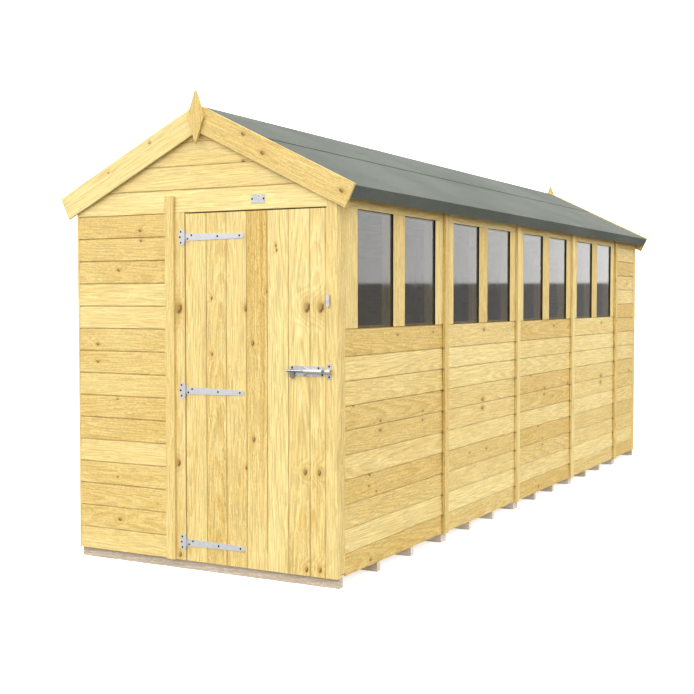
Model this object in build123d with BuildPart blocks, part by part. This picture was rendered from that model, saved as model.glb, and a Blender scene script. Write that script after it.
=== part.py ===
from build123d import *
import os
from math import atan, cos, degrees, radians, sin, tan

# A garden shed with an apex roof: framed panels clad in lapped boards stand on a floor laid over bearers.
# Millimetres, +Z up, the door faces -Y; the origin is on the ground under the middle of the shed.

# Each side wall is four full panels and a short one at the back
panel_width = 1182
panel_count = 4
short_panel_width = 590
panel_gap = 1

# Floor
bearer_height = 50
bearer_width = 36
bearer_setback = 2
inner_bearers = 2
deck_thickness = 16

# Wall frames
wall_half_width = 792
clad_depth = 22
clad_depth_under = 12
stud_depth = 45
stud_width = 28
rail_height = 38
plate_depth = 45
plate_lift = 135
end_stud_depth = 58

# Lapped boards
side_first_board = 107
side_board = 119
front_board = 118
front_board_count = 15
clad_top_gap = 4
board_lap = 15

# Windows in the right wall
sill_rise = 1192
window_jamb_width = 127.5
mullion_width = 138
pane_thickness = 4
pane_setback = 9
pane_clearance = 1
pane_lap = 10

# Cover strips over the panel joints, and thin strips at the corners
strip_width = 55
side_strip_thickness = 18
trim_thickness = 14
end_strip_rise = 86
corner_strip_thickness = 12

# Door posts and door
post_depth = 38
post_stud_width = 45
lock_post_width = 59
hinge_post_width = 87
door_width = 813
door_gap = 5
door_head_gap = 6
door_thickness = 18
door_first_board = 128
door_board = 120
door_groove_width = 6
door_groove_depth = 3
ledge_height = 95
ledge_thickness = 22
ledge_inset = 35
brace_width = 80

# Tee hinges
hinge_foot = 93
hinge_drop = 118
hinge_thickness = 2.5
hinge_plate_width = 35
hinge_plate_height = 84
hinge_plate_corner = 16
strap_length = 358
strap_root = 37
strap_tip = 26
strap_neck = 7
knuckle_radius = 5
knuckle_standoff = 0.5
strap_knuckle = 22
plate_knuckle = 12
knuckle_gap = 0.4
knuckle_notch = 7
pin_radius = 2.5
pin_clearance = 0.3

# Padbolt, its keeper on the lock post, and the turn button above them
bolt_rise = 989
bolt_radius = 6
bolt_standoff = 12
bolt_length = 197
bolt_tip_setback = 10
bolt_plate_width = 190
bolt_plate_height = 50
bolt_plate_thickness = 2
bolt_plate_corner = 6
bolt_plate_setback = 6
guide_length = 99
guide_radius = 9.5
guide_bore_clearance = 0.5
guide_setback = 6
wing_reach = 11
wing_length = 28
wing_spread = 23
wing_thickness = 4
handle_setback = 6
handle_width = 22
handle_drop = 36
handle_thickness = 5
keeper_width = 26
keeper_setback = 3
keeper_foot_half = 37
keeper_wall = 3
keeper_clearance = 2
button_rise = 1327
button_length = 62
button_width = 18
button_thickness = 3.5
button_setback = 11
button_standoff = 5.5
button_gap = 0.3
pivot_radius = 3
pivot_head_radius = 6
pivot_head_height = 2.5

# Bare plate over the door
name_plate_width = 78
name_plate_height = 44
name_plate_thickness = 1.5
name_plate_x = 349
name_plate_lift = 30

# Roof
roof_pitch = 26.1
eave_overhang = 90
roof_board_thickness = 11
roof_sheet_gap = 2
roof_edge_gap = 0.5
felt_thickness = 3
ridge_felt_slope = 406
batten_width = 28
batten_depth = 49
rafter_depth = 45
rafter_seat = 41
ridge_beam_width = 45
ridge_beam_depth = 95
purlin_width = 38
purlin_depth = 58
purlin_share = 0.5
barge_width = 125
barge_proud = 12
barge_overhang = 4
barge_mitre_gap = 0.5
finial_height = 270
finial_width = 104
finial_drop = 67
finial_corner = 30

overrun = 10

# Places that follow from the sizes above
pitch_rise = tan(radians(roof_pitch))
pitch_cos = cos(radians(roof_pitch))
pitch_sin = sin(radians(roof_pitch))
end_wall = clad_depth + end_stud_depth
half_length = (panel_count * panel_width + short_panel_width) / 2 + end_wall
front_y = -half_length
frame_face = wall_half_width - clad_depth
corner_face = wall_half_width - corner_strip_thickness
wall_foot = bearer_height
frame_foot = wall_foot + deck_thickness
sill = wall_foot + sill_rise
lintel = wall_foot + front_board * front_board_count
head = lintel
plate_top = lintel + plate_lift
plate_low = plate_top - plate_depth
lock_post_left = wall_half_width - lock_post_width
leaf_right = lock_post_left - door_gap
leaf_left = leaf_right - door_width
leaf_top = lintel - door_head_gap
hinge_post_right = leaf_left - door_gap
end_joint = hinge_post_right - hinge_post_width
front_plane = Plane.XZ.offset(half_length)
roof_slope = (wall_half_width + eave_overhang) / pitch_cos

panels = []
panel_start = front_y + end_wall
for width in [panel_width] * panel_count + [short_panel_width]:
    panels.append((panel_start + panel_gap / 2, panel_start + width - panel_gap / 2))
    panel_start += width
joints = [back + panel_gap / 2 for front, back in panels[:-1]]


def end_y(end, depth):
    """The y of a point so deep inwards from the front (end -1) or the back (end 1) of the walls."""
    return end * (half_length - depth)


def under_roof(x):
    """Height of the underside of the roof boards at x."""
    return plate_top + (frame_face - abs(x)) * pitch_rise


rafter_drop = rafter_depth / pitch_cos
rafter_foot = corner_face - rafter_seat
tie_top = under_roof(rafter_foot) - rafter_drop


def slope_plane(side, y):
    """Plane across a roof slope: x runs down from the ridge on the boards' top, y stands out from it."""
    ridge = under_roof(0) + roof_board_thickness / pitch_cos
    return Plane((0, y, ridge), x_dir=(side * pitch_cos, 0, -pitch_sin), z_dir=(0, -side, 0))


def plumb(height, reach):
    """Distance down the slope of a point at that height above the boards, so far from the centre line."""
    return (reach - height * pitch_sin) / pitch_cos


def lap_outline(low, high, first, pitch):
    """Section of lapped boards as (depth, z): each leans out downwards, and the top one keeps its lap."""
    outline = [(0, low), (clad_depth, low)]
    lap = first
    while lap + board_lap < high:
        outline += [(clad_depth_under, lap), (clad_depth, lap)]
        lap += pitch
    lean = (clad_depth - clad_depth_under) / pitch
    outline += [(clad_depth - lean * (high - lap + pitch), high), (0, high)]
    return outline


def block(low, high):
    """A straight-edged timber between two opposite corners, added to the piece being made."""
    with Locations(tuple((a + b) / 2 for a, b in zip(low, high))):
        Box(*(abs(b - a) for a, b in zip(low, high)))


def write(builder, name):
    """Names a finished piece and writes it to its file."""
    builder.part.label = name
    export_step(builder.part, f"parts/{name}.step")


os.makedirs("parts", exist_ok=True)

# Floor: bearers run across under each floor panel, two together at a panel joint, and carry the deck
floor_ends = [end_y(-1, clad_depth)] + joints + [end_y(1, clad_depth)]
floor_panels = [(a + panel_gap / 2, b - panel_gap / 2) for a, b in zip(floor_ends, floor_ends[1:])]
deck_front = end_y(-1, post_depth)
bearer_end = wall_half_width - bearer_setback
with BuildPart() as floor_bearers:
    for front, back in floor_panels:
        spaces = inner_bearers + 1 if back - front > short_panel_width + end_wall else 1
        step = (back - front - bearer_width) / spaces
        for index in range(spaces + 1):
            start = front + index * step
            block((-bearer_end, start, 0), (bearer_end, start + bearer_width, bearer_height))
write(floor_bearers, "floor_bearers")

with BuildPart() as floor_deck:
    for front, back in floor_panels:
        block((-frame_face, max(front, deck_front), wall_foot), (frame_face, back, frame_foot))
write(floor_deck, "floor_deck")


# Side walls: every panel is an upright frame, and those in front on the right hold two windows each
def side_panels(side):
    """Front, back and whether it has windows, for each panel of one side wall."""
    return [(front, back, side > 0 and front < joints[-1]) for front, back in panels]


def window_edges(front, back):
    """Front and back of the two windows in a panel."""
    middle = (front + back) / 2
    return [
        (front + window_jamb_width, middle - mullion_width / 2),
        (middle + mullion_width / 2, back - window_jamb_width),
    ]


def side_studs(side):
    """Uprights of one side wall: two at the ends of each panel, one between, and two beside each window."""
    inner = side * (frame_face - stud_depth)
    outer = side * frame_face
    with BuildPart() as studs:
        for front, back, windows in side_panels(side):
            for start in (front, back - stud_width):
                block((inner, start, frame_foot), (outer, start + stud_width, plate_low))
            start = (front + back - stud_width) / 2
            top = sill + pane_lap - rail_height if windows else plate_low
            block((inner, start, frame_foot + rail_height), (outer, start + stud_width, top))
            for low, high in window_edges(front, back) if windows else []:
                for start in (low + pane_lap - stud_width, high - pane_lap):
                    block((inner, start, sill + pane_lap), (outer, start + stud_width, head - pane_lap))
    return studs


def side_rails(side):
    """Rails of one side wall, with a top plate whose upper face lies under the roof boards."""
    inner = frame_face - stud_depth
    with BuildPart() as rails:
        for front, back, windows in side_panels(side):
            lows = [frame_foot]
            if windows:
                lows += [sill + pane_lap - rail_height, head - pane_lap]
            for low in lows:
                block(
                    (side * inner, front + stud_width, low),
                    (side * frame_face, back - stud_width, low + rail_height),
                )
            with BuildSketch(Plane.XZ.offset(-front)):
                with BuildLine():
                    Polyline(
                        (side * inner, plate_low),
                        (side * frame_face, plate_low),
                        (side * frame_face, plate_top),
                        (side * inner, under_roof(inner)),
                        close=True,
                    )
                make_face()
            extrude(amount=front - back)
    return rails


def side_cladding(side):
    """Lapped boards of one side wall, up to the sills in the panels with windows and else to the roof."""
    top = under_roof(wall_half_width) - clad_top_gap
    with BuildPart() as cladding:
        for front, back, windows in side_panels(side):
            board_top = sill if windows else top
            outline = lap_outline(wall_foot, board_top, wall_foot + side_first_board, side_board)
            with BuildSketch(Plane.XZ.offset(-front)):
                with BuildLine():
                    Polyline(*((side * (frame_face + depth), z) for depth, z in outline), close=True)
                make_face()
            extrude(amount=front - back)
    return cladding


def side_cover_strips(side):
    """Upright strips over the panel joints of one side wall."""
    outer = wall_half_width + side_strip_thickness
    top = under_roof(outer) - clad_top_gap
    with BuildPart() as strips:
        for joint in joints:
            block(
                (side * wall_half_width, joint - strip_width / 2, wall_foot),
                (side * outer, joint + strip_width / 2, top),
            )
    return strips


for side, hand in ((1, "right"), (-1, "left")):
    write(side_studs(side), f"{hand}_studs")
    write(side_rails(side), f"{hand}_rails")
    write(side_cladding(side), f"{hand}_cladding")
    write(side_cover_strips(side), f"{hand}_cover_strips")

# Windows: flat jambs, mullions and head boards, with panes that lie on beads against the studs
pane_back = wall_half_width - pane_setback - pane_thickness
window_panels = [(front, back) for front, back, windows in side_panels(1) if windows]
with BuildPart() as window_jambs:
    for front, back in window_panels:
        (first, first_end), (second, second_end) = window_edges(front, back)
        for start, end in ((front, first), (first_end, second), (second_end, back)):
            block((frame_face, start, sill), (wall_half_width, end, head))
write(window_jambs, "window_jambs")

with BuildPart() as window_heads:
    for front, back in window_panels:
        top = under_roof(wall_half_width) - clad_top_gap
        block((frame_face, front, head), (wall_half_width, back, top))
write(window_heads, "window_heads")

with BuildPart() as window_beads:
    for front, back in window_panels:
        for start, end in window_edges(front, back):
            for edge in (start, end - pane_lap):
                block((frame_face, edge, sill), (pane_back, edge + pane_lap, head))
            for edge in (sill, head - pane_lap):
                block((frame_face, start + pane_lap, edge), (pane_back, end - pane_lap, edge + pane_lap))
write(window_beads, "window_beads")

with BuildPart() as window_panes:
    for front, back in window_panels:
        for start, end in window_edges(front, back):
            block(
                (pane_back, start + pane_clearance, sill + pane_clearance),
                (pane_back + pane_thickness, end - pane_clearance, head - pane_clearance),
            )
write(window_panes, "window_panes")


# End walls: the front has one boarded panel beside the door, the back has two
def boarded_spans(end):
    """Left and right edges of the boarded panels below the tie in the front or back wall."""
    left_panel = (-corner_face, end_joint - panel_gap / 2)
    return [left_panel] if end < 0 else [left_panel, (end_joint + panel_gap / 2, corner_face)]


def tie_right(end):
    """Right end of the tie, at the wall's edge in front and behind the corner strip at the back."""
    return wall_half_width if end < 0 else corner_face


def gable_right(end):
    """Right edge of the gable's boards, which stop at the lock post in front."""
    return lock_post_left if end < 0 else corner_face


def end_studs(end):
    """Uprights of the front or back wall, the front ones with a stud behind each door post."""
    outer, inner, behind_post = (end_y(end, depth) for depth in (clad_depth, end_wall, post_depth))
    with BuildPart() as studs:
        for left, right in boarded_spans(end):
            for start in (left, right - stud_width):
                block((start, outer, frame_foot), (start + stud_width, inner, lintel))
            start = (left + right - stud_width) / 2
            block((start, outer, frame_foot + rail_height), (start + stud_width, inner, lintel))
        for right in (hinge_post_right, wall_half_width) if end < 0 else ():
            block((right - post_stud_width, behind_post, frame_foot), (right, inner, lintel))
    return studs


def end_rails(end):
    """Bottom rails of the front or back wall and the tie across its top, over the doorway in front."""
    outer, inner = end_y(end, clad_depth), end_y(end, end_wall)
    with BuildPart() as rails:
        for left, right in boarded_spans(end):
            block(
                (left + stud_width, outer, frame_foot),
                (right - stud_width, inner, frame_foot + rail_height),
            )
        block((-corner_face, outer, lintel), (tie_right(end), inner, tie_top))
    return rails


def end_cladding(end):
    """Lapped boards of the front or back wall, up to the tie."""
    outline = lap_outline(wall_foot, lintel, wall_foot + front_board, front_board)
    with BuildPart() as cladding:
        for left, right in boarded_spans(end):
            with BuildSketch(Plane.YZ.offset(left)):
                with BuildLine():
                    Polyline(*((end_y(end, clad_depth - depth), z) for depth, z in outline), close=True)
                make_face()
            extrude(amount=right - left)
    return cladding


def gable_boards(end):
    """Lapped boards over the tie, cut to the slopes of the roof."""
    right = gable_right(end)
    top = under_roof(0) - clad_top_gap
    outline = lap_outline(lintel, top + overrun, lintel + front_board, front_board)
    with BuildPart() as boards:
        with BuildSketch(Plane.YZ.offset(-corner_face)):
            with BuildLine():
                Polyline(*((end_y(end, clad_depth - depth), z) for depth, z in outline), close=True)
            make_face()
        extrude(amount=right + corner_face)
        with BuildSketch(Plane.XZ.offset(-end_y(end, -overrun))):
            with BuildLine():
                Polyline(
                    (-corner_face, lintel),
                    (right, lintel),
                    (right, under_roof(right) - clad_top_gap),
                    (0, top),
                    (-corner_face, under_roof(corner_face) - clad_top_gap),
                    close=True,
                )
            make_face()
        extrude(amount=end * (end_wall + overrun), mode=Mode.INTERSECT)
    return boards


for end, face in ((-1, "front"), (1, "back")):
    write(end_studs(end), f"{face}_studs")
    write(end_rails(end), f"{face}_rails")
    write(end_cladding(end), f"{face}_cladding")
    write(gable_boards(end), f"{face}_gable")

with BuildPart() as end_cover_strips:
    for end in (-1, 1):
        block(
            (end_joint - strip_width / 2, end_y(end, -trim_thickness), wall_foot),
            (end_joint + strip_width / 2, end_y(end, 0), lintel + end_strip_rise),
        )
write(end_cover_strips, "end_cover_strips")

with BuildPart() as corner_strips:
    for side, end in ((-1, -1), (-1, 1), (1, 1)):
        block(
            (side * corner_face, end_y(end, 0), wall_foot),
            (side * wall_half_width, end_y(end, end_wall), under_roof(wall_half_width) - clad_top_gap),
        )
write(corner_strips, "corner_strips")

with BuildPart() as hinge_post:
    block((end_joint, front_y, wall_foot), (hinge_post_right, front_y + post_depth, lintel))
write(hinge_post, "hinge_post")

# The lock post is thinned over the lintel, where it runs up past the tie to the barge board
lock_post_top = under_roof(wall_half_width) - clad_top_gap
with BuildPart() as lock_post:
    block((lock_post_left, front_y, wall_foot), (wall_half_width, front_y + post_depth, lintel))
    block((lock_post_left, front_y, lintel), (wall_half_width, front_y + clad_depth, lock_post_top))
write(lock_post, "lock_post")

# Bare plate on the lowest board over the door, lying back with the board's face
board_lean = degrees(atan((clad_depth - clad_depth_under) / front_board))
plate_depth_in = (clad_depth - clad_depth_under) * (name_plate_lift + name_plate_height / 2) / front_board
plate_centre = (name_plate_x, front_y + plate_depth_in, lintel + name_plate_lift + name_plate_height / 2)
with BuildPart() as bare_plate:
    with BuildSketch(Plane(plate_centre, x_dir=(1, 0, 0), z_dir=(0, -1, 0)).rotated((-board_lean, 0, 0))):
        Rectangle(name_plate_width, name_plate_height)
    extrude(amount=name_plate_thickness)
write(bare_plate, "bare_plate")

# Gable frames: rafters under the roof boards stand on the ties and meet at a post below the ridge beam
ridge_beam_top = under_roof(ridge_beam_width / 2)
with BuildPart() as gable_rafters:
    for end in (-1, 1):
        for side in (-1, 1):
            with BuildSketch(Plane.XZ.offset(-end_y(end, clad_depth))):
                with BuildLine():
                    Polyline(
                        (side * ridge_beam_width / 2, ridge_beam_top),
                        (side * corner_face, under_roof(corner_face)),
                        (side * corner_face, tie_top),
                        (side * rafter_foot, tie_top),
                        (side * ridge_beam_width / 2, ridge_beam_top - rafter_drop),
                        close=True,
                    )
                make_face()
            extrude(amount=end * end_stud_depth)
write(gable_rafters, "gable_rafters")

with BuildPart() as gable_posts:
    for end in (-1, 1):
        block(
            (-ridge_beam_width / 2, end_y(end, clad_depth), tie_top),
            (ridge_beam_width / 2, end_y(end, end_wall), ridge_beam_top - ridge_beam_depth),
        )
write(gable_posts, "gable_posts")

with BuildPart() as roof_purlins:
    block(
        (-ridge_beam_width / 2, end_y(-1, clad_depth), ridge_beam_top - ridge_beam_depth),
        (ridge_beam_width / 2, end_y(1, clad_depth), ridge_beam_top),
    )
    for side in (-1, 1):
        with BuildSketch(slope_plane(side, end_y(-1, end_wall))):
            with Locations((purlin_share * roof_slope, -roof_board_thickness - purlin_depth / 2)):
                Rectangle(purlin_width, purlin_depth)
        extrude(amount=side * (end_y(-1, end_wall) - end_y(1, end_wall)))
write(roof_purlins, "roof_purlins")

# Roof boards: one sheet over each panel and slope, with battens that stiffen the eaves
sheet_ends = [front_y + roof_edge_gap] + joints + [-front_y - roof_edge_gap]
for side, hand in ((1, "right"), (-1, "left")):
    with BuildPart() as roof_boards:
        for front, back in zip(sheet_ends, sheet_ends[1:]):
            with BuildSketch(slope_plane(side, front + roof_sheet_gap / 2)):
                with BuildLine():
                    Polyline(
                        (plumb(0, roof_sheet_gap / 2), 0),
                        (roof_slope, 0),
                        (roof_slope, -roof_board_thickness),
                        (plumb(-roof_board_thickness, roof_sheet_gap / 2), -roof_board_thickness),
                        close=True,
                    )
                make_face()
            extrude(amount=side * (front - back + roof_sheet_gap))
    write(roof_boards, f"{hand}_roof_boards")

with BuildPart() as eave_battens:
    for side in (-1, 1):
        with BuildSketch(slope_plane(side, sheet_ends[0])):
            with Locations((roof_slope - batten_width / 2, -roof_board_thickness - batten_depth / 2)):
                Rectangle(batten_width, batten_depth)
        extrude(amount=side * (sheet_ends[0] - sheet_ends[-1]))
write(eave_battens, "eave_battens")

# Felt: a sheet on each slope turned down over the eave, and a strip folded over the ridge
eave_depth = roof_board_thickness + batten_depth
for side, hand in ((1, "right"), (-1, "left")):
    with BuildPart() as roof_felt:
        with BuildSketch(slope_plane(side, sheet_ends[0])):
            with BuildLine():
                Polyline(
                    (plumb(0, roof_sheet_gap / 2), 0),
                    (roof_slope, 0),
                    (roof_slope, -eave_depth),
                    (roof_slope + felt_thickness, -eave_depth),
                    (roof_slope + felt_thickness, felt_thickness),
                    (plumb(felt_thickness, roof_sheet_gap / 2), felt_thickness),
                    close=True,
                )
            make_face()
        extrude(amount=side * (sheet_ends[0] - sheet_ends[-1]))
    write(roof_felt, f"{hand}_roof_felt")

with BuildPart() as ridge_felt:
    for side in (-1, 1):
        with BuildSketch(slope_plane(side, sheet_ends[0])):
            with BuildLine():
                Polyline(
                    (plumb(felt_thickness, 0), felt_thickness),
                    (ridge_felt_slope, felt_thickness),
                    (ridge_felt_slope, felt_thickness * 2),
                    (plumb(felt_thickness * 2, 0), felt_thickness * 2),
                    close=True,
                )
            make_face()
        extrude(amount=side * (sheet_ends[0] - sheet_ends[-1]))
write(ridge_felt, "ridge_felt")

# Barge boards cover the roof's edges at both gables, and a diamond finial covers the mitre between them
barge_end = roof_slope + felt_thickness + barge_overhang
for side, hand in ((1, "right"), (-1, "left")):
    with BuildPart() as barge_boards:
        for end in (-1, 1):
            with BuildSketch(slope_plane(side, end_y(end, 0))):
                with BuildLine():
                    Polyline(
                        (plumb(barge_proud, barge_mitre_gap), barge_proud),
                        (barge_end, barge_proud),
                        (barge_end, barge_proud - barge_width),
                        (plumb(barge_proud - barge_width, barge_mitre_gap), barge_proud - barge_width),
                        close=True,
                    )
                make_face()
            extrude(amount=-side * end * trim_thickness)
    write(barge_boards, f"{hand}_barge_boards")

barge_apex = under_roof(0) + (roof_board_thickness + barge_proud) / pitch_cos
finial_centre = barge_apex - finial_drop
with BuildPart() as finials:
    for end in (-1, 1):
        with BuildSketch(Plane.XZ.offset(-end_y(end, -trim_thickness))) as diamond:
            with BuildLine():
                Polyline(
                    (0, finial_centre - finial_height / 2),
                    (finial_width / 2, finial_centre),
                    (0, finial_centre + finial_height / 2),
                    (-finial_width / 2, finial_centre),
                    close=True,
                )
            make_face()
            across = diamond.vertices().sort_by(Axis.X)
            fillet([across[0], across[-1]], finial_corner)
        extrude(amount=-end * trim_thickness)
write(finials, "finials")

# Door: matched boards with grooved joints, held together by ledges and braces on the inside
groove_places = []
groove = leaf_left + door_first_board
while groove < leaf_right - door_groove_width:
    groove_places.append((groove, front_y))
    groove += door_board
with BuildPart() as door_boards:
    with BuildSketch(Plane.XY.offset(wall_foot)):
        with Locations(((leaf_left + leaf_right) / 2, front_y + door_thickness / 2)):
            Rectangle(door_width, door_thickness)
        for x, y in groove_places:
            with BuildLine():
                Polyline(
                    (x - door_groove_width / 2, y),
                    (x, y + door_groove_depth),
                    (x + door_groove_width / 2, y),
                    close=True,
                )
            make_face(mode=Mode.SUBTRACT)
    extrude(amount=leaf_top - wall_foot)
write(door_boards, "door_boards")

hinge_low = wall_foot + hinge_foot
hinge_high = leaf_top - hinge_drop
hinge_heights = (hinge_low, (hinge_low + hinge_high) / 2, hinge_high)
ledge_left = leaf_left + ledge_inset
ledge_right = leaf_right - ledge_inset
ledge_back = front_y + door_thickness + ledge_thickness
with BuildPart() as door_ledges:
    for height in hinge_heights:
        block(
            (ledge_left, front_y + door_thickness, height - ledge_height / 2),
            (ledge_right, ledge_back, height + ledge_height / 2),
        )
write(door_ledges, "door_ledges")

with BuildPart() as door_braces:
    for below, above in zip(hinge_heights, hinge_heights[1:]):
        low, high = below + ledge_height / 2, above - ledge_height / 2
        with BuildSketch(Plane.XZ.offset(-ledge_back)):
            with BuildLine():
                Polyline(
                    (ledge_left, low),
                    (ledge_left + brace_width, low),
                    (ledge_right, high),
                    (ledge_right - brace_width, high),
                    close=True,
                )
            make_face()
        extrude(amount=ledge_thickness)
write(door_braces, "door_braces")

# Tee hinges: a plate on the hinge post carries the pin, and a long tapered strap on the door turns about it
hinge_x = (hinge_post_right + leaf_left) / 2
hinge_y = front_y - knuckle_radius - knuckle_standoff
knuckle_lift = (strap_knuckle + plate_knuckle) / 2 + knuckle_gap
with BuildPart() as hinge_plates:
    for height in hinge_heights:
        with BuildSketch(front_plane):
            with Locations((hinge_x - hinge_plate_width / 2, height)):
                RectangleRounded(hinge_plate_width, hinge_plate_height, hinge_plate_corner)
            with Locations((hinge_x, height)):
                Rectangle(2 * knuckle_notch, strap_knuckle + 2 * knuckle_gap, mode=Mode.SUBTRACT)
        extrude(amount=hinge_thickness)
        with Locations((hinge_x, hinge_y, height - knuckle_lift), (hinge_x, hinge_y, height + knuckle_lift)):
            Cylinder(knuckle_radius, plate_knuckle)
        with Locations((hinge_x, hinge_y, height)):
            Cylinder(pin_radius, 2 * knuckle_lift + plate_knuckle)
write(hinge_plates, "hinge_plates")

strap_start = hinge_x + strap_neck
strap_end = hinge_x + strap_length - strap_tip / 2
with BuildPart() as hinge_straps:
    for height in hinge_heights:
        with BuildSketch(front_plane):
            with BuildLine():
                Polyline(
                    (strap_start, height - strap_root / 2),
                    (strap_end, height - strap_tip / 2),
                    (strap_end, height + strap_tip / 2),
                    (strap_start, height + strap_root / 2),
                    close=True,
                )
            make_face()
            with Locations((strap_end, height)):
                Circle(strap_tip / 2)
            with Locations(((hinge_x + strap_start) / 2, height)):
                Rectangle(strap_neck, strap_knuckle)
        extrude(amount=hinge_thickness)
        with Locations((hinge_x, hinge_y, height)):
            Cylinder(knuckle_radius, strap_knuckle)
            Cylinder(pin_radius + pin_clearance, strap_knuckle, mode=Mode.SUBTRACT)
write(hinge_straps, "hinge_straps")

# Padbolt: a plate on the door with one long saddle, its mouth spread into two wings, guides a round bolt
bolt_y = front_y - bolt_standoff
bolt_z = wall_foot + bolt_rise
bolt_plate_right = leaf_right - bolt_plate_setback
bolt_plate_left = bolt_plate_right - bolt_plate_width
guide_left = bolt_plate_right - guide_setback - guide_length
guide_bore = bolt_radius + guide_bore_clearance
wing_left = guide_left - wing_reach
wing_root = (guide_radius + guide_bore) / 2
with BuildPart() as bolt_plate:
    with BuildSketch(front_plane):
        with Locations((bolt_plate_right - bolt_plate_width / 2, bolt_z)):
            RectangleRounded(bolt_plate_width, bolt_plate_height, bolt_plate_corner)
    extrude(amount=bolt_plate_thickness)
    with BuildSketch(Plane.YZ.offset(guide_left)):
        with Locations((bolt_y, bolt_z)):
            Circle(guide_radius)
        with Locations((bolt_y + bolt_standoff / 2, bolt_z)):
            Rectangle(bolt_standoff, 2 * guide_radius)
        with Locations((bolt_y, bolt_z)):
            Circle(guide_bore, mode=Mode.SUBTRACT)
    extrude(amount=guide_length)
    with BuildSketch(front_plane):
        for side in (-1, 1):
            with BuildLine():
                Polyline(
                    (wing_left, bolt_z + side * wing_spread),
                    (wing_left + wing_thickness, bolt_z + side * wing_spread),
                    (wing_left + wing_length, bolt_z + side * wing_root),
                    (wing_left + wing_length - wing_thickness, bolt_z + side * wing_root),
                    close=True,
                )
            make_face()
    extrude(amount=bolt_standoff)
write(bolt_plate, "bolt_plate")

bolt_right = leaf_right - bolt_tip_setback
bolt_left = bolt_right - bolt_length
handle_left = bolt_plate_left + handle_setback
with BuildPart() as sliding_bolt:
    with BuildSketch(Plane.YZ.offset(bolt_left)):
        with Locations((bolt_y, bolt_z)):
            Circle(bolt_radius)
    extrude(amount=bolt_right - bolt_left)
    with BuildSketch(Plane.XZ.offset(-bolt_y - handle_thickness / 2)):
        with Locations((handle_left + handle_width / 2, bolt_z - (handle_drop - handle_width / 2) / 2)):
            SlotOverall(handle_drop + handle_width / 2, handle_width, rotation=90)
    extrude(amount=handle_thickness)
write(sliding_bolt, "sliding_bolt")

keeper_bore = bolt_radius + keeper_clearance
keeper_arch = keeper_bore + keeper_wall
with BuildPart() as bolt_keeper:
    with BuildSketch(Plane.YZ.offset(lock_post_left + keeper_setback)):
        with Locations((front_y - bolt_plate_thickness / 2, bolt_z)):
            Rectangle(bolt_plate_thickness, 2 * keeper_foot_half)
        with Locations((bolt_y, bolt_z)):
            Circle(keeper_arch)
        with Locations((bolt_y + bolt_standoff / 2, bolt_z)):
            Rectangle(bolt_standoff, 2 * keeper_arch)
            Rectangle(bolt_standoff, 2 * keeper_bore, mode=Mode.SUBTRACT)
        with Locations((bolt_y, bolt_z)):
            Circle(keeper_bore, mode=Mode.SUBTRACT)
    extrude(amount=keeper_width)
write(bolt_keeper, "bolt_keeper")

# Turn button: a small bar on a screw in the lock post, upright when the door is free
button_x = lock_post_left + button_setback
button_z = wall_foot + button_rise
with BuildPart() as turn_button:
    with BuildSketch(front_plane.offset(button_standoff + button_gap)):
        with Locations((button_x, button_z)):
            SlotOverall(button_length, button_width, rotation=90)
            Circle(pivot_radius + pin_clearance, mode=Mode.SUBTRACT)
    extrude(amount=button_thickness)
write(turn_button, "turn_button")

button_face = button_standoff + button_thickness + 2 * button_gap
with BuildPart() as button_screw:
    for foot, radius, height in (
        (0, pivot_head_radius, button_standoff),
        (button_standoff, pivot_radius, button_face - button_standoff),
        (button_face, pivot_head_radius, pivot_head_height),
    ):
        with BuildSketch(front_plane.offset(foot)):
            with Locations((button_x, button_z)):
                Circle(radius)
        extrude(amount=height)
write(button_screw, "button_screw")
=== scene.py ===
import math

import bpy
import numpy as np
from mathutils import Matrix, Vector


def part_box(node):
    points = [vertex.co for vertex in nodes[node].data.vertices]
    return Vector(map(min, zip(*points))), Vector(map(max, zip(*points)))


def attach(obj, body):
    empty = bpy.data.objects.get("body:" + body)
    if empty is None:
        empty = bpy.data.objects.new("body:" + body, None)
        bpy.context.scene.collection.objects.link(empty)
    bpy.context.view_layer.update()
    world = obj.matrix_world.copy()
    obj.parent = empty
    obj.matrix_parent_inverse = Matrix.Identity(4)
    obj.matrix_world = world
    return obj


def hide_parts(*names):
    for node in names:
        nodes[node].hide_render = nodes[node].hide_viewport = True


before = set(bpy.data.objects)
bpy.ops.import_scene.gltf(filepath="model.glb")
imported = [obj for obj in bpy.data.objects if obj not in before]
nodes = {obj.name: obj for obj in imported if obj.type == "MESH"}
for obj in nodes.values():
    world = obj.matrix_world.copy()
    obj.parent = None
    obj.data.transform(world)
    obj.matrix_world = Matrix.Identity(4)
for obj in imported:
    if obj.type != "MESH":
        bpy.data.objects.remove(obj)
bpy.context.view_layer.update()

scene = bpy.context.scene

# Camera: at eye height off the door's right-hand corner, looking back along the windowed side.
# Its place, turn and lens follow from the lines of the two walls in the photograph.
camera_place = (3.42023, -7.51585, 1.37903)
camera_turn = 28.3365
camera_dip = 2.324
lens_over_picture = 1.6684
sensor_width = 36.0
lens = bpy.data.cameras.new("camera")
lens.sensor_width = sensor_width
lens.lens = lens_over_picture * sensor_width
lens.clip_end = 500.0
camera = bpy.data.objects.new("camera", lens)
camera.location = camera_place
camera.rotation_euler = (math.radians(90 - camera_dip), 0, math.radians(camera_turn))
scene.collection.objects.link(camera)
scene.camera = camera
scene.view_settings.view_transform = "Standard"

# Studio: a white dome that is dim below the horizon, a broad soft key from the front left, and a pale floor.
# The floor shows to the camera and takes shadows, but throws no light up under the laps and eaves.
dome_light = 2.46
ground_light = 0.46
dome_edge = 0.0143
dome_edge_blur = 0.0012
key_light = 0.75
key_breadth = 50
key_turn = (52, 0, -32)
floor_reach = 90.0
floor_shade = (0.88, 0.88, 0.875, 1)
floor_glow = 0.7
floor_mottle = (0.6, 0.6, 0.6)
floor_dimmest = 0.98


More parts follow.
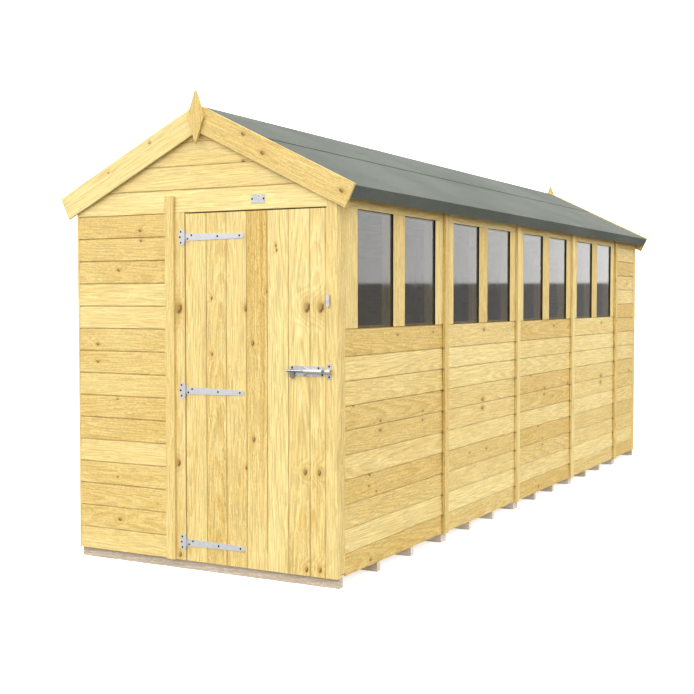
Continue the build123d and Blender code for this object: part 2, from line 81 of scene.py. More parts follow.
def put(tree, kind, wires=None, **settings):
    """Adds a shading node with its own settings.

    Wires are its inputs, each given as a value or as the socket that feeds it.
    """
    made = tree.nodes.new("ShaderNode" + kind)
    for key, value in settings.items():
        setattr(made, key, value)
    for key, value in (wires or {}).items():
        if isinstance(value, bpy.types.NodeSocket):
            tree.links.new(value, made.inputs[key])
        else:
            made.inputs[key].default_value = value
    return made


world = bpy.data.worlds.new("dome")
world.use_nodes = True
scene.world = world
sky = world.node_tree
sky.nodes.clear()
height = put(sky, "SeparateXYZ", {0: put(sky, "TexCoord").outputs["Generated"]}).outputs["Z"]
dome = put(sky, "MapRange", {
    "Value": height, "From Min": dome_edge - dome_edge_blur, "From Max": dome_edge + dome_edge_blur,
    "To Min": ground_light, "To Max": dome_light,
}).outputs[0]
seen = put(sky, "LightPath").outputs["Is Camera Ray"]
glow = put(sky, "Mix", {0: seen, 2: dome, 3: dome_light}).outputs[0]
backdrop = put(sky, "Background", {"Strength": glow})
put(sky, "OutputWorld", {"Surface": backdrop.outputs[0]})

key = bpy.data.lights.new("key", "SUN")
key.energy = key_light
key.angle = math.radians(key_breadth)
key_object = bpy.data.objects.new("key", key)
key_object.rotation_euler = tuple(math.radians(turn) for turn in key_turn)
scene.collection.objects.link(key_object)


def new_finish(name):
    """A material with its node tree and its main shader."""
    material = bpy.data.materials.new(name)
    material.use_nodes = True
    return material, material.node_tree, material.node_tree.nodes["Principled BSDF"]


def blend(tree, share, first, second, kind="MIX"):
    """A colour between two others, or one laid over the other."""
    return put(tree, "Mix", {0: share, 6: first, 7: second}, data_type="RGBA", blend_type=kind).outputs[2]


def reckon(tree, operation, *values):
    """One sum on numbers or sockets."""
    return put(tree, "Math", dict(enumerate(values)), operation=operation).outputs[0]


def fade(tree, value, start, end, first=1.0, last=0.0):
    """Runs smoothly from first to last as value goes from start to end."""
    ends = {"Value": value, "From Min": start, "From Max": end, "To Min": first, "To Max": last}
    return put(tree, "MapRange", ends, interpolation_type="SMOOTHSTEP").outputs[0]


def speckle(tree, place, scales, detail=2.0):
    """Noise on a place stretched by its own scale along each axis."""
    spread = put(tree, "VectorMath", {0: place, 1: scales}, operation="MULTIPLY").outputs[0]
    return put(tree, "TexNoise", {"Vector": spread, "Scale": 1.0, "Detail": detail}).outputs[0]


floor_finish, tree, shader = new_finish("studio_floor")
spot = put(tree, "TexCoord").outputs["Object"]
faint = fade(tree, speckle(tree, spot, floor_mottle), 0.2, 0.8, floor_dimmest, 1.0)
tree.links.new(blend(tree, 1.0, floor_shade, faint, "MULTIPLY"), shader.inputs["Base Color"])
shader.inputs["Roughness"].default_value = 0.9
shader.inputs["Emission Color"].default_value = floor_shade
shader.inputs["Emission Strength"].default_value = floor_glow
corners = floor_reach * np.array([(-1, -1, 0), (1, -1, 0), (1, 1, 0), (-1, 1, 0)])
floor_mesh = bpy.data.meshes.new("studio_floor")
floor_mesh.from_pydata(corners, [], [(0, 1, 2, 3)])
floor_mesh.materials.append(floor_finish)
studio_floor = bpy.data.objects.new("studio_floor", floor_mesh)
studio_floor.visible_diffuse = False
studio_floor.visible_glossy = False
studio_floor.visible_transmission = False
scene.collection.objects.link(studio_floor)

# Floor bearers: sawn softwood battens that run across under the floor, standing on the ground.
# They are rough from the saw and greyer than the planed boards above them.
bearer_pale = (0.82, 0.72, 0.60, 1)
bearer_brown = (0.50, 0.41, 0.315, 1)
bearer_tones = (0.0, 0.4)
front_bearer_tone = 0.75
sawn_arris = 0.002
ring_slant = 0.03
ring_warp = 0.03
pale_rings = 0.65
honey_rings = 1.1
late_relief = 0.5
warp_scales = (0.8, 6.0, 6.0)
tone_scales = (0.9, 6.0, 6.0)
patch_scales = (2.4, 17.0, 17.0)
patch_share = 0.7
wander_scales = (4.5, 13.0, 13.0)
pale_wander = 0.03
honey_wander = 0.075
fibre_scales = (4.0, 520.0, 520.0)
strand_scales = (4.5, 165.0, 165.0)
strand_share = 0.7
fleck_scales = (75.0, 140.0, 140.0)
fleck_dark = -0.15
fleck_pale = 1.035
knot_labels = ("knot_a", "knot_b", "knot_c")
knot_oval = 0.7
knot_scales = (160.0, 210.0, 0.0)
knot_roughness = 0.9
knot_bulge = 1.3
flame_oval = 0.2
under_slant = 0.5
halo_share = 0.5
core_share = 0.8
rim_share = 0.9
grain_depth = 0.0007
# Dark brown for grime on eased corners and for painted shade under laps, along lower edges and in hollows.
grime_and_shade_colour = (0.20, 0.115, 0.04, 1)
knot_colour = (0.40, 0.22, 0.055, 1)
flame_colour = (0.44, 0.27, 0.075, 1)
knot_rim = (0.085, 0.042, 0.012, 1)
halo_colour = (0.58, 0.36, 0.09, 1)
late_tint = (0.80, 0.70, 0.50, 1)


def pine(name, cream, honey, ring_width=0.006, ring_share=0.5, fibre_share=0.2, along=None, mirrored=False):
    """Softwood: rings as cones about a pith that lies off the timber's face.

    Noise warps the rings, knots bulge them, and strands and fibres wander along them. Each timber carries
    its own place along, across and into the grain, its tone, its grime and painted shade, and three knots.
    With along, the place is read off the object instead: its axes run along, across and into the grain.
    Mirrored timbers take the same axes on either side of the middle.
    """
    material, tree, shader = new_finish(name)
    if along is None:
        place = put(tree, "Attribute", attribute_name="grain").outputs["Vector"]
        tone = put(tree, "Attribute", attribute_name="tone").outputs["Fac"]
    else:
        spot = put(tree, "TexCoord").outputs["Object"]
        if mirrored:
            spot = put(tree, "VectorMath", {0: spot}, operation="ABSOLUTE").outputs[0]
        turned = [put(tree, "VectorMath", {0: spot, 1: axis}, operation="DOT_PRODUCT").outputs["Value"]
                  for axis in along]
        place = put(tree, "CombineXYZ", dict(enumerate(turned))).outputs[0]
        tone = fade(tree, speckle(tree, place, tone_scales), 0.3, 0.7, 0.1, 0.9)
    warp = speckle(tree, place, warp_scales)
    slant = put(tree, "VectorMath", {0: place, 1: (ring_slant, 1, 1)}, operation="MULTIPLY").outputs[0]
    radius = put(tree, "VectorMath", {0: slant}, operation="LENGTH").outputs["Value"]
    radius = reckon(tree, "MULTIPLY_ADD", warp, ring_warp, radius)
    # Each knot has a core, a halo, a rim on its lower side and a flame drawn out along the grain.
    core, halo, rim, flame = 0.0, 0.0, 0.0, 0.0
    for knot in knot_labels if along is None else ():
        offset = put(tree, "Attribute", attribute_name=knot).outputs["Vector"]
        parts = put(tree, "SeparateXYZ", {0: offset}).outputs
        squashed = reckon(tree, "MULTIPLY", parts[0], knot_oval)
        oval = put(tree, "CombineXYZ", {0: squashed, 1: parts[1]}).outputs[0]
        reach = put(tree, "VectorMath", {0: oval}, operation="LENGTH").outputs["Value"]
        rough = speckle(tree, offset, knot_scales)
        reach = reckon(tree, "MULTIPLY_ADD", rough, knot_roughness, reckon(tree, "DIVIDE", reach, parts[2]))
        bulge = reckon(tree, "MULTIPLY", parts[2], knot_bulge)
        swirl = reckon(tree, "MULTIPLY", fade(tree, reach, 0.4, 5.5), bulge)
        radius = reckon(tree, "ADD", radius, swirl)
        core = reckon(tree, "MAXIMUM", core, fade(tree, reach, 0.5, 1.7))
        halo = reckon(tree, "MAXIMUM", halo, fade(tree, reach, 1.0, 3.6))
        squashed = reckon(tree, "MULTIPLY", parts[0], flame_oval)
        long_oval = put(tree, "CombineXYZ", {0: squashed, 1: parts[1]}).outputs[0]
        tongue = put(tree, "VectorMath", {0: long_oval}, operation="LENGTH").outputs["Value"]
        tongue = fade(tree, reckon(tree, "DIVIDE", tongue, parts[2]), 0.1, 1.25)
        flame = reckon(tree, "MAXIMUM", flame, tongue)
        under = reckon(tree, "MULTIPLY_ADD", parts[0], under_slant, parts[1])
        under = reckon(tree, "DIVIDE", under, parts[2])
        edge = reckon(tree, "MULTIPLY", fade(tree, reach, 0.5, 1.15, 0.0, 1.0), fade(tree, reach, 1.2, 1.8))
        edge = reckon(tree, "MULTIPLY", edge, fade(tree, under, -0.8, 0.5, 1.0, 0.1))
        rim = reckon(tree, "MAXIMUM", rim, edge)
    # A ring darkens slowly towards its late wood and ends sharply.
    turn = reckon(tree, "FRACT", reckon(tree, "DIVIDE", radius, ring_width))
    late = reckon(tree, "MULTIPLY", fade(tree, turn, 0.25, 0.85, 0.0, 1.0), fade(tree, turn, 0.9, 1.0))
    # Strands and fibres run along the grain and wander most in honey-coloured wood.
    wander = reckon(tree, "SUBTRACT", speckle(tree, place, wander_scales), 0.5)
    wander = reckon(tree, "MULTIPLY", wander, fade(tree, tone, 0.25, 0.75, pale_wander, honey_wander))
    drift = put(tree, "CombineXYZ", {1: wander, 2: wander}).outputs[0]
    drifted = put(tree, "VectorMath", {0: place, 1: drift}, operation="ADD").outputs[0]
    fibre = speckle(tree, drifted, fibre_scales, detail=3.0)
    strand = speckle(tree, drifted, strand_scales, detail=3.0)
    fleck = fade(tree, speckle(tree, place, fleck_scales), 0.42, 0.64, 0.0, 1.0)
    fleck = reckon(tree, "MULTIPLY", fleck, fade(tree, tone, 0.25, 0.75, 0.2, 1.0))
    patch = speckle(tree, place, patch_scales)
    tone = reckon(tree, "MULTIPLY_ADD", reckon(tree, "SUBTRACT", patch, 0.5), patch_share, tone)
    early = blend(tree, reckon(tree, "MINIMUM", reckon(tree, "MAXIMUM", tone, 0.0), 1.0), cream, honey)
    rings = fade(tree, tone, 0.1, 0.9, ring_share * pale_rings, ring_share * honey_rings)
    ringed = reckon(tree, "MULTIPLY", late, rings)
    wood = blend(tree, ringed, early, late_tint, "MULTIPLY")
    finest = reckon(tree, "MULTIPLY", fibre, 1.0 - strand_share)
    streak = reckon(tree, "MULTIPLY_ADD", strand, strand_share, finest)
    streak = fade(tree, streak, 0.3, 0.7, 1.0 - fibre_share, 1.0 + fibre_share)
    streak = reckon(tree, "MULTIPLY", streak, reckon(tree, "MULTIPLY_ADD", fleck, fleck_dark, fleck_pale))
    shading = put(tree, "CombineXYZ", {0: streak, 1: streak, 2: streak}).outputs[0]
    wood = blend(tree, 1.0, wood, shading, "MULTIPLY")
    relief = reckon(tree, "MULTIPLY_ADD", late, late_relief, fibre)
    if along is None:
        wood = blend(tree, reckon(tree, "MULTIPLY", halo, halo_share), wood, halo_colour)
        licks = reckon(tree, "MULTIPLY", flame, fade(tree, strand, 0.4, 0.6, 0.15, 0.6))
        wood = blend(tree, licks, wood, flame_colour)
        wood = blend(tree, reckon(tree, "MULTIPLY", core, core_share), wood, knot_colour)
        wood = blend(tree, reckon(tree, "MULTIPLY", rim, rim_share), wood, knot_rim)
        # Painted shade under laps, along lower edges, in strip hollows and on finial sides, with grime on
        # eased corners, darkens the wood.
        grime_and_shade = put(tree, "Attribute", attribute_name="grime_and_shade").outputs["Fac"]
        shade_and_stain = reckon(tree, "MULTIPLY", grime_and_shade, fade(tree, patch, 0.2, 0.8, 0.45, 0.9))
        wood = blend(tree, shade_and_stain, wood, grime_and_shade_colour)
        relief = reckon(tree, "SUBTRACT", relief, core)
    tree.links.new(wood, shader.inputs["Base Color"])
    tree.links.new(fade(tree, fibre, 0.3, 0.7, 0.52, 0.7), shader.inputs["Roughness"])
    dents = put(tree, "Bump", {"Strength": 0.4, "Distance": grain_depth, "Height": relief})
    tree.links.new(dents.outputs[0], shader.inputs["Normal"])
    shader.inputs["Specular IOR Level"].default_value = 0.3
    return material


rng = np.random.default_rng(11)
no_knot = (9.0, 9.0, 0.01)
chance_of_knots = (0.35, 0.35, 0.2, 0.1)
knot_radii = (0.004, 0.0085)
knot_reach = (0.06, 0.94)
knot_spread = 0.85
pith_places = ((-6.0, 6.0), (-0.07, 0.07), (0.015, 0.09))
sway_waves = np.array([1.7, 4.3, 9.1])


def squared(width, thickness, arris, front_arris=None, soil=0.12):
    """Section of a squared timber as (across, out, grime_and_shade).

    Each of its four corners is eased by an arc of three points, and soil is the grime on the middle one.
    """
    eased = np.array([arris, arris, front_arris or arris, front_arris or arris])
    right, left = width / 2 - eased, eased - width / 2
    centres = np.stack([[left[0], right[1], right[2], left[3]],
                        [eased[0], eased[1], thickness - eased[2], thickness - eased[3]]], -1)
    turns = np.radians(180 + 90 * np.arange(4)[:, None] + np.array([0, 45, 90]))
    arcs = centres[:, None] + eased[:, None, None] * np.stack([np.cos(turns), np.sin(turns)], -1)
    return np.concatenate([arcs.reshape(-1, 2), np.tile([0.0, soil, 0.0], 4)[:, None]], 1)


def skin(rings, count):
    """Faces over rings of points: four-sided ones between neighbours, and a cap at each end."""
    around = np.arange(count)
    after = np.roll(around, -1)
    row = np.arange(rings - 1)[:, None] * count
    quads = np.stack([row + around, row + after, row + after + count, row + around + count], -1)
    return {"quads": quads.reshape(-1, 4), "caps": np.stack([around[::-1], around + row[-1] + count])}


def bar(foot, along, out, length, section, cuts=(0.0, 0.0), stations=2, waver=0.0, tone=0.5, knots=None):
    """One timber: its section carried along a straight path.

    Station i of corner j lies s along, a across and d out from the foot. s runs from cuts[0] times a to the
    length plus cuts[1] times a, so a cut is the slope of a sawn end. The low edge wanders by waver, as the
    mean of three sine waves. Stations are a count or shares of the length, and tone may run from foot to end.
    Knots are (point, radius) pairs, and without them some are dealt by chance.
    """
    foot, along, out = (np.asarray(vector, float) for vector in (foot, along, out))
    across = np.cross(out, along)
    side, depth, grime_and_shade = section.T
    share = (np.linspace(0, 1, stations) if np.isscalar(stations) else stations)[:, None]
    reach = cuts[0] * side + share * (length + (cuts[1] - cuts[0]) * side)
    phases = rng.uniform(0, 2 * np.pi, 3)
    sway = np.sin(reach[..., None] * sway_waves + phases).mean(-1)
    shift = side + waver * sway * (side.max() - side) / np.ptp(side)
    local = np.stack([reach, shift, np.broadcast_to(depth, reach.shape)], -1).reshape(-1, 3)
    if knots is None:
        count = rng.choice(len(chance_of_knots), p=chance_of_knots)
        spread = knot_spread * side.min(), knot_spread * side.max()
        spots = [(rng.uniform(*knot_reach) * length, rng.uniform(*spread), rng.uniform(*knot_radii))
                 for _ in range(count)]
    else:
        spots = [((np.array(p) - foot) @ along, (np.array(p) - foot) @ across, r) for p, r in knots]
    spots = np.array((spots + [no_knot] * len(knot_labels))[:len(knot_labels)])
    pith = np.array([rng.uniform(*limits) for limits in pith_places])
    flat = local * (1, 1, 0)
    return {
        "points": foot + local @ np.stack([along, across, out]),
        "grain": local + pith,
        "tone": np.repeat(np.interp(share[:, 0], (0, 1), np.broadcast_to(tone, 2)), len(side)),
        "grime_and_shade": np.tile(grime_and_shade, len(share)),
        **{label: spot * (-1, -1, 1) + flat for label, spot in zip(knot_labels, spots)},
        **skin(len(share), len(side)),
    }


def joinery(name, bars, finish, body, slot, *replaced):
    """Puts timbers into one mesh, each with grain, knots, tone, grime and painted shade, and hangs it on a
    body.
    """
    mesh = bpy.data.meshes.new(name)
    starts = np.cumsum([0] + [len(part["points"]) for part in bars])
    faces = []
    for start, part in zip(starts, bars):
        faces += (part["quads"] + start).tolist() + (part["caps"] + start).tolist()
    mesh.from_pydata(np.concatenate([part["points"] for part in bars]), [], faces)
    fields = [(label, "FLOAT_VECTOR", "vector") for label in ("grain",) + knot_labels]
    fields += [(label, "FLOAT", "value") for label in ("tone", "grime_and_shade")]
    for label, kind, field in fields:
        values = np.concatenate([part[label] for part in bars]).astype(np.float32)
        mesh.attributes.new(label, kind, "POINT").data.foreach_set(field, values.ravel())
    mesh.materials.append(finish)
    piece = bpy.data.objects.new(name, mesh)
    scene.collection.objects.link(piece)
    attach(piece, body)
    if replaced:
        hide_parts(*replaced)
    return piece


def timbers(node):
    """Lowest and highest corner of each separate solid in a CAD node.

    Corners that share a place or a face take the lowest label among them, over and over until none changes.
    """
    mesh = nodes[node].data
    points = np.empty(len(mesh.vertices) * 3)
    mesh.vertices.foreach_get("co", points)
    points = points.reshape(-1, 3)
    triangles = np.empty(len(mesh.polygons) * 3, int)
    mesh.polygons.foreach_get("vertices", triangles)
    places = np.unique(points.round(5), axis=0, return_inverse=True)[1].ravel()
    joined = places[triangles.reshape(-1, 3)]
    labels, settled = np.arange(places.max() + 1), False
    while not settled:
        lower = labels.copy()
        np.minimum.at(lower, joined, labels[joined].min(1, keepdims=True))
        settled = (lower == labels).all()
        labels = lower
    solid = labels[places]
    return [(points[solid == label].min(0), points[solid == label].max(0)) for label in np.unique(solid)]


def squared_timber(low, high, out, arris=0.0015, **looks):
    """A squared timber that fills a box, with its grain along the box and its face towards out."""
    out = np.asarray(out, float)
    size = high - low
    along = np.eye(3)[np.where(out == 0, size, 0).argmax()]
    across = np.cross(out, along)
    length, width, thickness = (abs(size @ axis) for axis in (along, across, out))
    foot = (low + high - along * length - out * thickness) / 2
    return bar(foot, along, out, length, squared(width, thickness, arris), **looks)


sawn_bearer = pine("sawn_bearer", bearer_pale, bearer_brown)
bearers = []
for low, high in sorted(timbers("floor_bearers"), key=lambda solid: solid[0][1]):
    tone = rng.uniform(*bearer_tones)
    if not bearers:
        tone = front_bearer_tone
    bearers.append(squared_timber(low, high, (0, -1, 0), sawn_arris, tone=tone))
joinery("bearers", bearers, sawn_bearer, "shed", "sawn_bearer", "floor_bearers")

# Floor: planed softwood boards laid lengthways over the bearers and nailed down to them.
# Each floor panel has its own set, and they darken more than the walls from being walked on.
deck_board = 0.118
deck_joint = 0.0008
deck_arris = 0.001
deck_tones = (0.2, 0.9)
deck_cream = (0.66, 0.50, 0.24, 1)
deck_honey = (0.52, 0.34, 0.12, 1)
floor_board = pine("floor_board", deck_cream, deck_honey)
deck = []
for low, high in timbers("floor_deck"):
    edges = np.append(np.arange(low[0], high[0] - deck_board / 4, deck_board), high[0])
    for left, right in zip(edges, edges[1:]):
        near = np.array([left, low[1], low[2]])
        far = np.array([right - deck_joint, high[1], high[2]])
        deck.append(squared_timber(near, far, (0, 0, 1), deck_arris, tone=rng.uniform(*deck_tones)))
joinery("floor_boards", deck, floor_board, "shed", "floor_board", "floor_deck")

# Wall frames: sawn studs with rails between them and plates on top, nailed together behind the boards.
# The squared studs are made one by one, and the bevelled plates and roof timbers keep their solids.
frame_cream = (0.79, 0.635, 0.285, 1)
frame_honey = (0.64, 0.44, 0.13, 1)
frame_tones = (0.2, 0.8)
framing = pine("framing", frame_cream, frame_honey)
for wall, inwards in (("right", (-1, 0, 0)), ("left", (1, 0, 0)), ("front", (0, 1, 0)), ("back", (0, -1, 0))):
    studs = [squared_timber(low, high, inwards, sawn_arris, tone=rng.uniform(*frame_tones))
             for low, high in timbers(wall + "_studs")]
    joinery(wall + "_frame_studs", studs, framing, "shed", "framing_timber", wall + "_studs")
roof_pitch = math.radians(26.1)
brace_width = 0.080
brace_low, brace_high = timbers("door_braces")[0]
brace_reach = brace_high - brace_low
brace_pitch = math.atan2(brace_reach[2], brace_reach[0] - brace_width)


def leaning(pitch):
    """Axes along, across and into the grain of a timber that rises at a pitch along an end wall."""
    rise, run = math.sin(pitch), math.cos(pitch)
    return (run, 0, rise), (-rise, 0, run), (0, 1, 0)


lengthways = pine("framing_lengthways", frame_cream, frame_honey, along=((0, 1, 0), (1, 0, 0), (0, 0, 1)))
crossways = pine("framing_crossways", frame_cream, frame_honey, along=leaning(0))
upright = pine("framing_upright", frame_cream, frame_honey, along=leaning(math.pi / 2))
rafter_timber = pine("framing_rafters", frame_cream, frame_honey, along=leaning(-roof_pitch), mirrored=True)
brace_timber = pine("framing_braces", frame_cream, frame_honey, along=leaning(brace_pitch))


def dress(finish, *names):
    """Gives CAD nodes their finish."""
    for name in names:
        nodes[name].data.materials.clear()
        nodes[name].data.materials.append(finish)


dress(lengthways, "right_rails", "left_rails", "roof_purlins", "eave_battens")
dress(crossways, "front_rails", "back_rails")
dress(upright, "gable_posts")
dress(rafter_timber, "gable_rafters")
dress(brace_timber, "door_braces")

# Lapped boards: planed pine, nailed to the studs, each hanging over the hollowed top of the one below.
# Their faces are nearly flat and their lower edges wander a little. Shade is painted under each lap and lower
# edge.
board_cream = (0.80, 0.65, 0.292, 1)
board_honey = (0.655, 0.45, 0.130, 1)
side_first_board = 0.107
side_board = 0.119
end_board = 0.118
board_lap = 0.015
board_out = 0.022
board_thickness = 0.0065
board_lean = 0.003
board_scoop = 0.0045
board_tone_spread = 0.07
back_ease = 0.0003
flat_margin = 0.010
edge_rises = (0.0028, 0.0008, 0)
edge_falls = (0.0001, 0.0008, 0.0025)
# Painted shade on the rounded lower edge that faces down, and on the face just under the next board's lap.
edge_shades = (0.02, 0.12, 0.2)
lap_shade = 0.25
lap_ease = 0.002
edge_waver = 0.0012
station_gap = 0.09
wall_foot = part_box("right_cladding")[0].z
wall_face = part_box("right_cladding")[1].x
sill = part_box("window_jambs")[0].z
front_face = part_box("front_cladding")[0].y
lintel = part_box("front_cladding")[1].z
pine_boards = pine("pine_boards", board_cream, board_honey)


def lapped(pitch, lap, lean=board_lean, scoop=board_scoop, setback=0.0):
    """Section of a lapped board as (across, out, grime_and_shade), the last all painted shade.

    Its flat face leans back from a rounded lower edge, and its top is hollowed to lie under the next board.
    """
    top = pitch + lap
    heights = np.array([0, top, top, pitch, pitch - flat_margin, pitch / 2, flat_margin, *edge_rises])
    depths = board_out - setback - lean / pitch * heights
    depths[:2] -= board_thickness - back_ease
    depths[2:4] -= scoop
    depths[-3:] -= edge_falls
    # Painted shade: darker just under the next board's lap and on the rounded lower edge that faces down.
    grime_and_shade = np.array([0, 0, lap_shade, lap_shade, 0, 0, 0, *edge_shades])
    return np.stack([heights, depths, grime_and_shade], -1)


def courses(foot, top, first, pitch):
    """Foot and height of each board in a wall, of which the topmost takes up its own lap."""
    laps = [foot] + list(np.arange(foot + first, top - board_lap, pitch))
    return list(zip(laps, np.diff(laps + [top])))


def boarding(start, end, face, out, boards, tones, knots=None):
    """Lapped boards over one panel, from start to end along the wall and out from its frames' face."""
    along = np.cross((0, 0, 1), out)
    bars = []
    for number, (low, pitch) in enumerate(boards):
        foot = face * np.abs(out) + start * np.abs(along) + low * np.array([0, 0, 1])
        lap = board_lap - lap_ease if number + 1 < len(boards) else 0.0
        near = None
        if knots is not None:
            near = [knot for knot in knots if low <= knot[0][2] < low + pitch]
        tone = tones[number % len(tones)] + rng.uniform(-board_tone_spread, board_tone_spread)
        stations = max(2, round(abs(end - start) / station_gap))
        bars.append(bar(foot, along, out, abs(end - start), lapped(pitch, lap), stations=stations,
                        waver=edge_waver, tone=tone, knots=near))
    return bars


# The right wall's panels are cut in turn from honey and from pale boards, and their knots are listed.
honey_tones = (0.9, 0.35, 0.62, 0.86, 0.4, 0.75, 0.8, 0.45, 0.42, 0.86)
pale_tones = (0.53, 0.17, 0.47, 0.62, 0.22, 0.45, 0.47, 0.3, 0.2, 0.45)
side_knots = ((-2.08, 1.20, 0.007), (-1.627, 1.204, 0.006), (-2.571, 0.87, 0.008), (-2.28, 0.769, 0.008),
              (-1.767, 0.776, 0.007), (-2.28, 0.722, 0.009), (-1.766, 0.726, 0.007), (-2.396, 0.51, 0.009),
              (-2.408, 0.454, 0.006), (-2.328, 0.416, 0.006), (-2.389, 0.08, 0.008), (-0.867, 1.20, 0.011),
              (-0.887, 0.773, 0.013), (-0.886, 0.721, 0.013), (-1.093, 0.466, 0.006), (-0.819, 0.463, 0.008),
              (0.485, 1.198, 0.009), (-0.001, 0.867, 0.008), (0.278, 0.766, 0.010), (0.81, 0.764, 0.010),
              (0.279, 0.721, 0.010), (0.157, 0.508, 0.008), (0.24, 0.416, 0.007), (0.25, 0.368, 0.007),
              (0.166, 0.087, 0.009), (1.69, 1.196, 0.010), (1.686, 0.77, 0.014), (1.679, 0.72, 0.014),
              (2.551, 0.768, 0.010), (2.46, 1.52, 0.009))
right_bars = []
right_out = np.array([1.0, 0, 0])
for number, (low, high) in enumerate(sorted(timbers("right_cladding"), key=lambda solid: solid[0][1])):
    boards = courses(wall_foot, high[2], side_first_board, side_board)
    tones = pale_tones if number % 2 else honey_tones
    knots = [((wall_face, y, z), r) for y, z, r in side_knots if low[1] < y < high[1]]
    right_bars += boarding(low[1], high[1], wall_face - board_out, right_out, boards, tones, knots)
joinery("right_wall_boards", right_bars, pine_boards, "shed", "pine_boards", "right_cladding")

left_bars = []
for low, high in timbers("left_cladding"):
    boards = courses(wall_foot, high[2], side_first_board, side_board)
    tones = rng.permutation(honey_tones)
    left_bars += boarding(high[1], low[1], board_out - wall_face, -right_out, boards, tones)
joinery("left_wall_boards", left_bars, pine_boards, "shed", "pine_boards", "left_cladding")

front_tones = (0.38, 0.7, 0.65, 0.56, 0.36, 0.68, 0.72, 0.45, 0.68, 0.6, 0.28, 0.38, 0.6, 0.6, 0.75)
front_knots = ((-0.37, 1.739, 0.008), (-0.366, 1.687, 0.007), (-0.514, 1.536, 0.008), (-0.656, 1.148, 0.008),
               (-0.657, 1.055, 0.008), (-0.529, 0.859, 0.005), (-0.53, 0.447, 0.005), (-0.516, 0.224, 0.009))
front_out = np.array([0, -1.0, 0])
end_boards = courses(wall_foot, lintel, end_board, end_board)
for low, high in timbers("front_cladding"):
    knots = [((x, front_face, z), r) for x, z, r in front_knots]
    bars = boarding(low[0], high[0], front_face + board_out, front_out, end_boards, front_tones, knots)
    joinery("front_wall_boards", bars, pine_boards, "shed", "pine_boards", "front_cladding")
back_bars = []
for low, high in timbers("back_cladding"):
    tones = rng.permutation(front_tones)
    back_bars += boarding(high[0], low[0], -front_face - board_out, -front_out, end_boards, tones)
joinery("back_wall_boards", back_bars, pine_boards, "shed", "pine_boards", "back_cladding")

# Gables: the same lapped boards, nailed over the ties and rafters at both ends of the roof.
# They are sawn to the roof's slope, and the barge boards hide the cut. The lowest leans out over the doorway.
gable_tones = (0.17, 0.33, 0.38, 0.4, 0.4)
gable_knots = ((0.264, 2.062, 0.007),)
gable_scoop = 0.002
plate_board_lean = 0.010
above_plate_setback = 0.006
peak_share = 0.97
gable_stations = 8
slope = 1 / math.tan(roof_pitch)
for node, out in (("front_gable", front_out), ("back_gable", -front_out)):
    low, high = (np.array(corner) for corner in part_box(node))
    along = np.cross((0, 0, 1), out)
    face = low[1] + board_out if out[1] < 0 else high[1] - board_out
    apex = high[2]
    bars = []
    for number, (foot_z, pitch) in enumerate(courses(lintel, apex, end_board, end_board)):
        reach = (apex - foot_z) / math.tan(roof_pitch)
        ends = [max(-reach, low[0]), min(reach, high[0])]
        cut = [reach - pitch * slope < abs(edge) for edge in (low[0], high[0])]
        if along[0] < 0:
            ends, cut = ends[::-1], cut[::-1]
        if number:
            section = lapped(pitch, 0.0, board_lean, gable_scoop, above_plate_setback)
        else:
            section = lapped(pitch, 0.0, plate_board_lean, gable_scoop)
        section[:, 0] = np.minimum(section[:, 0], (apex - foot_z) * peak_share)
        foot = (ends[0], face, foot_z)
        cuts = (slope * cut[0], -slope * cut[1])
        knots = None
        if node == "front_gable":
            knots = [((x, face, z), r) for x, z, r in gable_knots if foot_z <= z < foot_z + pitch]
        bars.append(bar(foot, along, out, abs(ends[1] - ends[0]), section, cuts, gable_stations, edge_waver,
                        gable_tones[number], knots))
    joinery(node + "_boards", bars, pine_boards, "shed", "pine_boards", node)

# Cover strips over the joints between panels and thin strips down the corners, planed and nailed on.
# The side walls' strips get painted shade on their back edges, in the hollow under each lap.
strip_arris = 0.002
strip_tone_spread = 0.06
back_edge_points = 6
hollow_rises = np.array([-0.014, -0.009, 0.001, 0.004])
# Painted shade on the strips' back edges in the hollow under each lap.
hollow_shade = np.array([0, 1.0, 1.0, 0])
side_laps = np.array([low for low, pitch in courses(wall_foot, sill, side_first_board, side_board)[1:]])
for node, out, tones, in_hollows in (("right_cover_strips", right_out, (0.65, 0.3, 0.24, 0.65), True),
                                     ("left_cover_strips", -right_out, (0.6, 0.2), True),
                                     ("end_cover_strips", front_out, (0.45,), False),
                                     ("corner_strips", right_out, (0.55,), False)):
    strips = []
    for number, (low, high) in enumerate(sorted(timbers(node), key=lambda solid: solid[0][1])):
        places = np.concatenate([low[2:], (side_laps[:, None] + hollow_rises).ravel(), high[2:]])
        facing = out if low @ out > 0 else -out
        tone = tones[number % len(tones)] + rng.uniform(-strip_tone_spread, strip_tone_spread)
        stations = (places - low[2]) / (high[2] - low[2])
        strip = squared_timber(low, high, facing, strip_arris, tone=tone, stations=stations)
        # Painted shade on the back edges, in the hollow under each lap.
        if in_hollows:
            hollow_shading = np.concatenate([[0], np.tile(hollow_shade, len(side_laps)), [0]])
            strip["grime_and_shade"].reshape(len(places), -1)[:, :back_edge_points] += hollow_shading[:, None]
        strips.append(strip)
    joinery(node.removesuffix("_strips") + "_battens", strips, pine_boards, "shed", "pine_boards", node)

# Door posts: planed pine posts at each side of the doorway, nailed to the studs and flush with the boards.
# The door hangs on the left one, and the bolt's keeper and the turn button are screwed to the right one.
post_tone = 0.4
post_knots = {
    "hinge_post": ((-0.128, 1.34, 0.020), (-0.134, 0.55, 0.013), (-0.127, 0.078, 0.010)),
    "lock_post": (),
}
for node, spots in post_knots.items():
    low, high = (np.array(corner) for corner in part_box(node))
    knots = [((x, front_face, z), r) for x, z, r in spots]
    post = squared_timber(low, high, front_out, strip_arris, tone=post_tone, knots=knots)
    joinery(node + "_timber", [post], pine_boards, "shed", "pine_boards", node)

